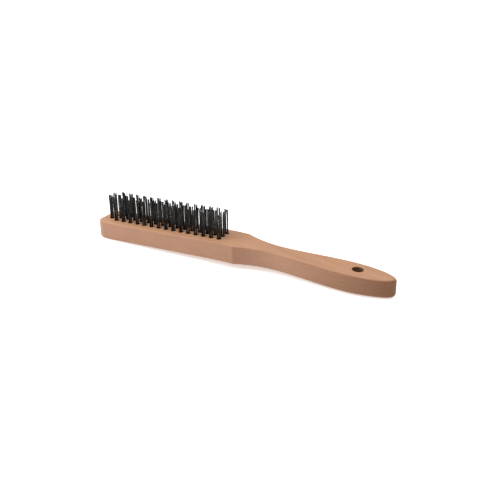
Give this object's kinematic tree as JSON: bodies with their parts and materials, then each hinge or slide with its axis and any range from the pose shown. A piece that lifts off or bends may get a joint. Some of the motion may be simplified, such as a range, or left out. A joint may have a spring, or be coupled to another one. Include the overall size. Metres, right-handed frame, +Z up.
{
  "type": "wire scratch brush",
  "caption": "Hand scratch brush: a flat wooden block with a waisted, slightly drooping handle, a hanging hole, and rows of dark steel wire tufts standing up from its head.",
  "frame": {"origin": "on the floor under the middle of the bounding box, with the brush lying on its back, bristles up, touching the floor at the nose's lower edge and at the handle's end", "axes": "+X from the nose to the handle's end, +Y across the brush, +Z up, the way the bristles point. The head's faces are tipped 2.0 degrees about Y, because the handle leans 3.9 degrees away from the bristles."},
  "size_m": [0.2932, 0.035, 0.0457],
  "materials": {
    "beech_wood": "sanded, uncoated beech with a pink-brown tone",
    "dark_steel_wire": "dark, drawn steel wire with a dull shine"
  },
  "bodies": {
    "root": {"handle_block": "beech_wood", "tuft_near_00": "dark_steel_wire", "tuft_near_01": "dark_steel_wire", "tuft_near_02": "dark_steel_wire", "tuft_near_03": "dark_steel_wire", "tuft_near_04": "dark_steel_wire", "tuft_near_05": "dark_steel_wire", "tuft_near_06": "dark_steel_wire", "tuft_near_07": "dark_steel_wire", "tuft_near_08": "dark_steel_wire", "tuft_near_09": "dark_steel_wire", "tuft_near_10": "dark_steel_wire", "tuft_near_11": "dark_steel_wire", "tuft_near_12": "dark_steel_wire", "tuft_near_13": "dark_steel_wire", "tuft_near_14": "dark_steel_wire", "tuft_near_15": "dark_steel_wire", "tuft_middle_01": "dark_steel_wire", "tuft_middle_02": "dark_steel_wire", "tuft_middle_03": "dark_steel_wire", "tuft_middle_04": "dark_steel_wire", "tuft_middle_05": "dark_steel_wire", "tuft_middle_06": "dark_steel_wire", "tuft_middle_07": "dark_steel_wire", "tuft_middle_08": "dark_steel_wire", "tuft_middle_09": "dark_steel_wire", "tuft_middle_10": "dark_steel_wire", "tuft_middle_11": "dark_steel_wire", "tuft_middle_12": "dark_steel_wire", "tuft_middle_13": "dark_steel_wire", "tuft_middle_14": "dark_steel_wire", "tuft_middle_15": "dark_steel_wire", "tuft_far_00": "dark_steel_wire", "tuft_far_01": "dark_steel_wire", "tuft_far_02": "dark_steel_wire", "tuft_far_03": "dark_steel_wire", "tuft_far_04": "dark_steel_wire", "tuft_far_05": "dark_steel_wire", "tuft_far_06": "dark_steel_wire", "tuft_far_07": "dark_steel_wire", "tuft_far_08": "dark_steel_wire", "tuft_far_09": "dark_steel_wire", "tuft_far_10": "dark_steel_wire", "tuft_far_11": "dark_steel_wire", "tuft_far_12": "dark_steel_wire", "tuft_far_13": "dark_steel_wire", "tuft_far_14": "dark_steel_wire", "tuft_far_15": "dark_steel_wire"}
  },
  "joints": []
}
